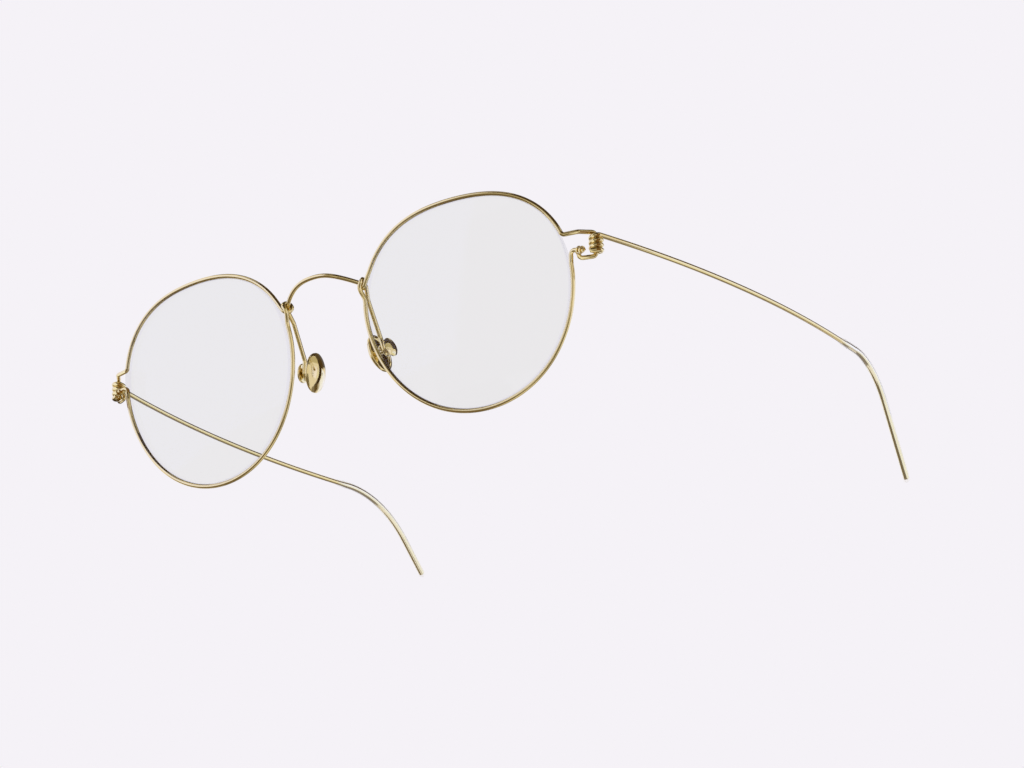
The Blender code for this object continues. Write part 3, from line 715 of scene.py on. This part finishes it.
class EyeglassesColours(bpy.types.PropertyGroup):
    """Colours of the finishes."""

    gold: FloatVectorProperty(name="Gold", description="Colour of the polished metal", subtype="COLOR",
                              size=3, min=0.0, max=1.0, default=(0.81, 0.655, 0.30))
    lens: FloatVectorProperty(name="Lens", description="Tint of the clear lenses", subtype="COLOR",
                              size=3, min=0.0, max=1.0, default=(0.905, 0.917, 0.892))
    sleeve: FloatVectorProperty(name="Sleeve", description="Tint of the clear temple sleeves",
                                subtype="COLOR", size=3, min=0.0, max=1.0, default=(0.985, 0.975, 0.94))
    # Core colour: a painted sheen, paler than the gold, that stands in for the bright reflection seen through
    # the clear sleeve
    core: FloatVectorProperty(name="Core", description="Colour of the wire under its sleeve", subtype="COLOR",
                              size=3, min=0.0, max=1.0, default=(0.87, 0.79, 0.55))
    backdrop: FloatVectorProperty(name="Backdrop", description="Colour of the background and floor",
                                  subtype="COLOR", size=3, min=0.0, max=1.0, default=(0.914, 0.888, 0.930))


def settings(context):
    """The sizes and the colours that are set."""
    return context.scene.eyeglasses_sizes, context.scene.eyeglasses_colours


class EYEGLASSES_OT_lenses(bpy.types.Operator):
    """Make the two clear lenses, each with a groove in its edge for the rim wire"""

    bl_idname = "eyeglasses.lenses"
    bl_label = "Lenses"

    def execute(self, context):
        """A lens is rings on the eye's curved sheet: the front, a soft edge with a groove, and the back."""
        sizes, colours = settings(context)
        half = sizes.lens_thickness / 2
        groove = sizes.frame_wire / 2 + GROOVE_CLEARANCE
        lip = acos(GROOVE_INSET / groove)
        turn = np.linspace(-lip, lip, GROOVE_ROWS)
        face = np.append(np.linspace(0.0, LENS_LAST_ROW, LENS_ROWS), 1.0)
        front_edge, back_edge = len(face) - 1, len(face) + len(turn)
        scale = np.concatenate([face, np.ones(len(turn)), face[::-1]])
        cut = np.concatenate([np.linspace(0.0, GROOVE_INSET, len(face)), groove * np.cos(turn),
                              np.linspace(GROOVE_INSET, 0.0, len(face))])
        cut[[front_edge, back_edge]] += LENS_EDGE_SOFT
        depth = np.concatenate([np.full(len(face), -half), groove * np.sin(turn), np.full(len(face), half)])
        angle = np.linspace(0.0, 2 * pi, LENS_SIDES, endpoint=False)[None]
        grid = eye_points(angle, scale[:, None], cut[:, None] * (scale[:, None] > 0), depth[:, None])
        # Map number 1 on the edge rings, where the painted shade lies
        edge = np.zeros(len(scale))
        edge[front_edge:back_edge + 1] = 1.0
        finish = clear_material("lens_clear", colours.lens, coat=0.2, haze_scale=30.0, haze=0.05,
                                edge=LENS_EDGE_SHADE_COLOUR)
        for name, side in SIDES.items():
            grid_piece(name + "_lens_glass", standing(grid, side), "front", name + "_lens",
                       finish, along=edge)
        return {"FINISHED"}


class EYEGLASSES_OT_rim_wires(bpy.types.Operator):
    """Make the rim wires, each with its turn at the nose, its hinge pin and its knot"""

    bl_idname = "eyeglasses.rim_wires"
    bl_label = "Rim Wires"

    def execute(self, context):
        """A rim is a round section carried along the rim wire's line."""
        sizes, colours = settings(context)
        finish = gold_material("rim_gold", colours.gold, GLOSS["rim"])
        path, radius = rim_path(sizes)
        for name, side in SIDES.items():
            grid, along = tube_grid(standing(path, side), radius)
            grid_piece(name + "_rim", grid, "front", name + "_rim_wire", finish, along)
        return {"FINISHED"}


class EYEGLASSES_OT_bridge_wire(bpy.types.Operator):
    """Make the one wire of the bridge and both pad arms"""

    bl_idname = "eyeglasses.bridge_wire"
    bl_label = "Bridge Wire"

    def execute(self, context):
        """The bridge is a round section carried along the bridge wire's line."""
        sizes, colours = settings(context)
        finish = gold_material("bridge_gold", colours.gold, GLOSS["bridge"])
        path = bridge_path(sizes)
        grid, along = tube_grid(standing(path), np.full(len(path), sizes.frame_wire / 2))
        grid_piece("bridge", grid, "front", "bridge_wire", finish, along)
        return {"FINISHED"}


class EYEGLASSES_OT_temple_wires(bpy.types.Operator):
    """Make the temple wires, each with its hinge coil and the core inside its sleeve"""

    bl_idname = "eyeglasses.temple_wires"
    bl_label = "Temple Wires"

    def execute(self, context):
        """A temple is a round section carried along the temple's line and on along its tip's, wider there."""
        sizes, colours = settings(context)
        path = temple_path(sizes)
        wire = sizes.temple_wire / 2
        start = np.sum(np.linalg.norm(np.diff(path, axis=0), axis=1))
        # The wire under the sleeve takes the core colour, a painted sheen for the reflection seen through the
        # sleeve
        finish = gold_material("temple_gold", colours.gold, GLOSS["temple"], sleeve=(start, colours.core))
        for name, side in SIDES.items():
            tip = TIPS[name]
            core = tip_path(path[-1], tip, tip["length"] - SLEEVE_END)
            whole = np.concatenate([path, core[1:]])
            radius = np.full(len(whole), wire)
            inside = np.linspace(0.0, tip["length"] / SLEEVE_TAPER, len(core) - 1)
            radius[len(path):] += (CORE_RADIUS - wire) * np.clip(inside - CORE_START, 0.0, 1.0)
            grid, along = tube_grid(standing(whole, side), radius)
            grid_piece(name + "_temple", grid, name + "_temple", name + "_temple_wire",
                       finish, along)
        return {"FINISHED"}


class EYEGLASSES_OT_tip_sleeves(bpy.types.Operator):
    """Make the clear sleeves over the temple tips"""

    bl_idname = "eyeglasses.tip_sleeves"
    bl_label = "Tip Sleeves"

    def execute(self, context):
        """A sleeve is a round section with soft ends, carried along the tip's line over the core."""
        sizes, colours = settings(context)
        finish = clear_material("sleeve_clear", colours.sleeve, coat=0.5, haze_scale=400.0, haze=0.2)
        start = temple_path(sizes)[-1]
        wire = sizes.temple_wire / 2
        for name, side in SIDES.items():
            tip = TIPS[name]
            path = standing(tip_path(start, tip, tip["length"]), side)
            share = np.linspace(0.0, tip["length"] / SLEEVE_TAPER, len(path))
            grown = np.sin(np.clip(share, 0.0, 1.0) * pi / 2)
            radius = wire + (SLEEVE_DIAMETER / 2 - wire) * grown
            grid, along = tube_grid(path, radius, soft=SLEEVE_END_SOFT)
            grid_piece(name + "_sleeve", grid, name + "_temple", name + "_tip_sleeve", finish,
                       along)
        return {"FINISHED"}


class EYEGLASSES_OT_nose_pads(bpy.types.Operator):
    """Make the nose pads with their posts and caps"""

    bl_idname = "eyeglasses.nose_pads"
    bl_label = "Nose Pads"

    def execute(self, context):
        """Each piece is a profile of radius and height turned about the post, the pad's on an oval."""
        sizes, colours = settings(context)
        pad_finish = gold_material("pad_gold", colours.gold, GLOSS["pad"], uv=False)
        cap_finish = gold_material("cap_gold", colours.gold, GLOSS["cap"], uv=False)
        post_finish = gold_material("post_gold", colours.gold, GLOSS["post"], uv=False)
        middle, out, up, ahead = post_frame()
        seat = eye_length(sizes) + 2 * SEAT_GAP
        angle = np.linspace(0.0, 2 * pi, PAD_SIDES, endpoint=False)[None, :, None]
        disc = np.cos(angle) * ahead + np.sin(angle) * up
        pad = self.pad_profile(sizes)
        oval = np.cos(angle) * ahead * PAD_WIDTH / 2 + np.sin(angle) * up * PAD_LENGTH / 2
        cap = self.cap_profile(seat)
        post = (np.array([0.0, 1.0, 1.0, 0.0]) * POST_DIAMETER / 2,
                np.array([-PAD_RECESS, -PAD_RECESS, seat, seat]))
        pad, cap, post = (middle + reach[:, None, None] * outline + high[:, None, None] * out
                          for (reach, high), outline in ((pad, oval), (cap, disc), (post, disc)))
        for name, side in SIDES.items():
            body = name + "_pad"
            shell = grid_piece(name + "_pad_shell", standing(pad, side), body, name + "_nose_pad",
                               pad_finish)
            shell.visible_glossy = False
            grid_piece(name + "_pad_button", standing(cap, side), body, name + "_pad_cap",
                       cap_finish)
            grid_piece(name + "_pad_rivet", standing(post, side), body, name + "_pad_post",
                       post_finish)
        return {"FINISHED"}

    def pad_profile(self, sizes):
        """A pad from the middle of its back: a flat well, its wall, a soft lip, and the dome to the nose."""
        sweep = np.linspace(0.0, 1.0, PAD_WELL_ROWS)
        fillet = np.linspace(0.0, pi / 2, PAD_FILLET_ROWS)
        dome = np.linspace(0.0, pi / 2, PAD_DOME_ROWS)
        reach = np.concatenate([PAD_WELL * sweep, PAD_WELL + PAD_WALL * np.sin(fillet),
                                PAD_CREST + PAD_LIP * np.sin(fillet), np.cos(dome)])
        high = np.concatenate([np.full(PAD_WELL_ROWS, -PAD_RECESS), -PAD_RECESS * np.cos(fillet),
                               -PAD_LIP_DROP * (1 - np.cos(fillet)),
                               -PAD_RIM - (sizes.pad_dome - PAD_RIM) * np.sin(dome) ** DOME_FULLNESS])
        return reach, high

    def cap_profile(self, seat):
        """A cap from the middle of its seat: a flat face, a soft edge, and the dome."""
        edge = np.linspace(-pi / 2, 0.0, CAP_EDGE_ROWS)
        crown = np.linspace(0.0, pi / 2, CAP_DOME_ROWS)
        radius = CAP_DIAMETER / 2
        reach = np.concatenate([[0.0, radius / 2], radius - CAP_SOFT + CAP_SOFT * np.cos(edge),
                                radius * np.cos(crown)])
        high = np.concatenate([[seat, seat], seat + CAP_SOFT + CAP_SOFT * np.sin(edge),
                               seat + CAP_EDGE + CAP_DOME * np.sin(crown) ** DOME_FULLNESS])
        return reach, high


class EYEGLASSES_OT_stage(bpy.types.Operator):
    """Make the floor, the soft light and the camera"""

    bl_idname = "eyeglasses.stage"
    bl_label = "Stage"

    def execute(self, context):
        """The floor is a flat square under the glasses, seen only from above."""
        colour = settings(context)[1].backdrop
        corners = np.array([(across, along, 0.0) for across, along in SQUARE]) * FLOOR_HALF
        floor = flat_square("floor", corners, self.floor_material(colour))
        self.cards(context)
        self.world(context, colour)
        self.lamps(context)
        self.camera(context)
        context.scene.view_settings.view_transform = "Standard"
        return {"FINISHED"}

    def floor_material(self, colour):
        """A matt floor, clear to a camera below it and to every ray that a metal has reflected."""
        material, tree, shader = new_material("floor_pale")
        shader.inputs["Base Color"].default_value = (*colour, 1.0)
        shader.inputs["Roughness"].default_value = FLOOR_ROUGHNESS
        clear = new_node(tree, "ShaderNodeBsdfTransparent")
        rays = new_node(tree, "ShaderNodeLightPath")
        side = new_node(tree, "ShaderNodeNewGeometry")
        below = new_node(tree, "ShaderNodeMath", operation="MULTIPLY",
                         fed={0: rays.outputs["Is Camera Ray"], 1: side.outputs["Backfacing"]})
        away = new_node(tree, "ShaderNodeMath", operation="MAXIMUM",
                        fed={0: below.outputs["Value"], 1: rays.outputs["Glossy Depth"]})
        finish_with(tree, away.outputs["Value"], shader.outputs["BSDF"], clear.outputs["BSDF"],
                    "Material Output")
        return material

    def world(self, context, colour):
        """An even grey room, with the backdrop's colour for rays from the camera, clear pieces and gloss."""
        world = bpy.data.worlds.new("studio")
        context.scene.world = world
        world.use_nodes = True
        tree = world.node_tree
        room = tree.nodes["Background"]
        room.inputs["Color"].default_value = (ROOM_LEVEL, ROOM_LEVEL, ROOM_LEVEL, 1.0)
        backdrop = new_node(tree, "ShaderNodeBackground", {"Color": (*colour, 1.0)})
        rays = new_node(tree, "ShaderNodeLightPath")
        through = new_node(tree, "ShaderNodeMath", operation="MAXIMUM",
                           fed={0: rays.outputs["Is Camera Ray"], 1: rays.outputs["Is Transmission Ray"]})
        seen = new_node(tree, "ShaderNodeMath", operation="MAXIMUM",
                        fed={0: through.outputs["Value"], 1: rays.outputs["Is Glossy Ray"]})
        finish_with(tree, seen.outputs["Value"], room.outputs["Background"], backdrop.outputs["Background"],
                    "World Output")

    def card_material(self, name, colour):
        """One even glowing colour, a painted reflection, for rays that a metal has reflected, and clear for
        all others.
        """
        material, tree, shader = new_material(name)
        shader.inputs["Base Color"].default_value = (0.0, 0.0, 0.0, 1.0)
        shader.inputs["Specular IOR Level"].default_value = 0.0
        shader.inputs["Emission Color"].default_value = (*colour, 1.0)
        shader.inputs["Emission Strength"].default_value = 1.0
        clear = new_node(tree, "ShaderNodeBsdfTransparent")
        rays = new_node(tree, "ShaderNodeLightPath")
        finish_with(tree, rays.outputs["Glossy Depth"], clear.outputs["BSDF"], shader.outputs["BSDF"],
                    "Material Output")
        return material

    def card_places(self, sizes):
        """The places that cards are seen from: the right pad, and both tips, hinge pins and pins' feet."""
        start = temple_path(sizes)[-1]
        middle, axis = pin_frame()
        places = {"pad": standing(post_frame()[0], -1.0)}
        for name, side in SIDES.items():
            tip = TIPS[name]
            places[name + "_tip"] = standing(tip_path(start, tip, tip["length"])[TIP_CARD_POINT], side)
            places[name + "_pin"] = standing(middle, side)
            places[name + "_foot"] = standing(middle - axis * PIN_LENGTH / 2, side)
        return places

    def cards(self, context):
        """Glowing cards that only the metal's reflections see, each square to its line from its place, that
        paint bright and dark reflections.
        """
        places = self.card_places(settings(context)[0])
        for name, place, azimuth, elevation, width, height, distance, colour in CARDS:
            azimuth, elevation = radians(azimuth), radians(elevation)
            level = cos(elevation)
            way = TURN @ np.array([sin(azimuth) * level, cos(azimuth) * level, sin(elevation)])
            wide = square_to(np.array([way[1], -way[0], 0.0]), way)
            tall = np.cross(wide, way)
            half = distance * np.array([tan(radians(width) / 2), tan(radians(height) / 2)])
            corners = places[place] + way * distance + np.array(SQUARE) * half @ np.stack([wide, tall])
            card = flat_square(name, corners, self.card_material(name, colour))
            card.visible_camera = False
            card.visible_diffuse = False
            card.visible_shadow = False

    def lamps(self, context):
        """Soft square lamps that face the glasses and show in no reflection."""
        for name, place, size, power in LAMPS:
            lamp = bpy.data.lights.new(name, "AREA")
            lamp.energy = power
            lamp.size = size
            holder = bpy.data.objects.new(name, lamp)
            context.scene.collection.objects.link(holder)
            holder.visible_transmission = False
            holder.visible_glossy = False
            holder.location = place
            aim = -holder.location
            holder.rotation_euler = aim.to_track_quat("-Z", "Y").to_euler()

    def camera(self, context):
        """The camera looks as the photograph does, with its place and its turn given in the lens plane."""
        back = np.array([sin(VIEW_AZIMUTH) * cos(VIEW_ELEVATION), -cos(VIEW_AZIMUTH) * cos(VIEW_ELEVATION),
                         sin(VIEW_ELEVATION)])
        right = unit(np.cross(-back, [0.0, 0.0, 1.0]))
        up = np.cross(right, -back)
        axes = np.stack([right * cos(VIEW_ROLL) + up * sin(VIEW_ROLL),
                         up * cos(VIEW_ROLL) - right * sin(VIEW_ROLL), back])
        matrix = np.eye(4)
        matrix[:3, :3] = TURN @ axes.T
        matrix[:3, 3] = standing(np.array(VIEW_OFFSET) @ axes)
        camera = bpy.data.cameras.new("camera")
        camera.lens = VIEW_LENS
        camera.sensor_width = SENSOR_WIDTH
        holder = bpy.data.objects.new("camera", camera)
        context.scene.collection.objects.link(holder)
        holder.matrix_world = matrix.T.tolist()
        context.scene.camera = holder


class EYEGLASSES_PT_pieces(bpy.types.Panel):
    """The list of the pieces and their sizes"""

    bl_idname = "EYEGLASSES_PT_pieces"
    bl_label = "Eyeglasses"
    bl_space_type = "VIEW_3D"
    bl_region_type = "UI"
    bl_category = "Eyeglasses"

    def draw(self, context):
        """Every size and colour, and a button for each operator."""
        for group in settings(context):
            for name in group.__annotations__:
                self.layout.prop(group, name)
        for operator in PIECES:
            self.layout.operator(operator.bl_idname)


PIECES = (
    EYEGLASSES_OT_lenses,
    EYEGLASSES_OT_rim_wires,
    EYEGLASSES_OT_bridge_wire,
    EYEGLASSES_OT_temple_wires,
    EYEGLASSES_OT_tip_sleeves,
    EYEGLASSES_OT_nose_pads,
    EYEGLASSES_OT_stage,
)
CLASSES = (EyeglassesSizes, EyeglassesColours, *PIECES, EYEGLASSES_PT_pieces)


def register():
    """Register the classes and put the sizes and colours on the scene."""
    for each in CLASSES:
        bpy.utils.register_class(each)
    bpy.types.Scene.eyeglasses_sizes = PointerProperty(type=EyeglassesSizes)
    bpy.types.Scene.eyeglasses_colours = PointerProperty(type=EyeglassesColours)


def unregister():
    """Take the sizes and colours off the scene and the classes out again."""
    del bpy.types.Scene.eyeglasses_colours
    del bpy.types.Scene.eyeglasses_sizes
    for each in reversed(CLASSES):
        bpy.utils.unregister_class(each)


def main():
    """Make every piece in order."""
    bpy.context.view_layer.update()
    register()
    for name in [each.bl_idname.split(".")[1] for each in PIECES]:
        getattr(bpy.ops.eyeglasses, name)()


if __name__ == "__main__":
    main()
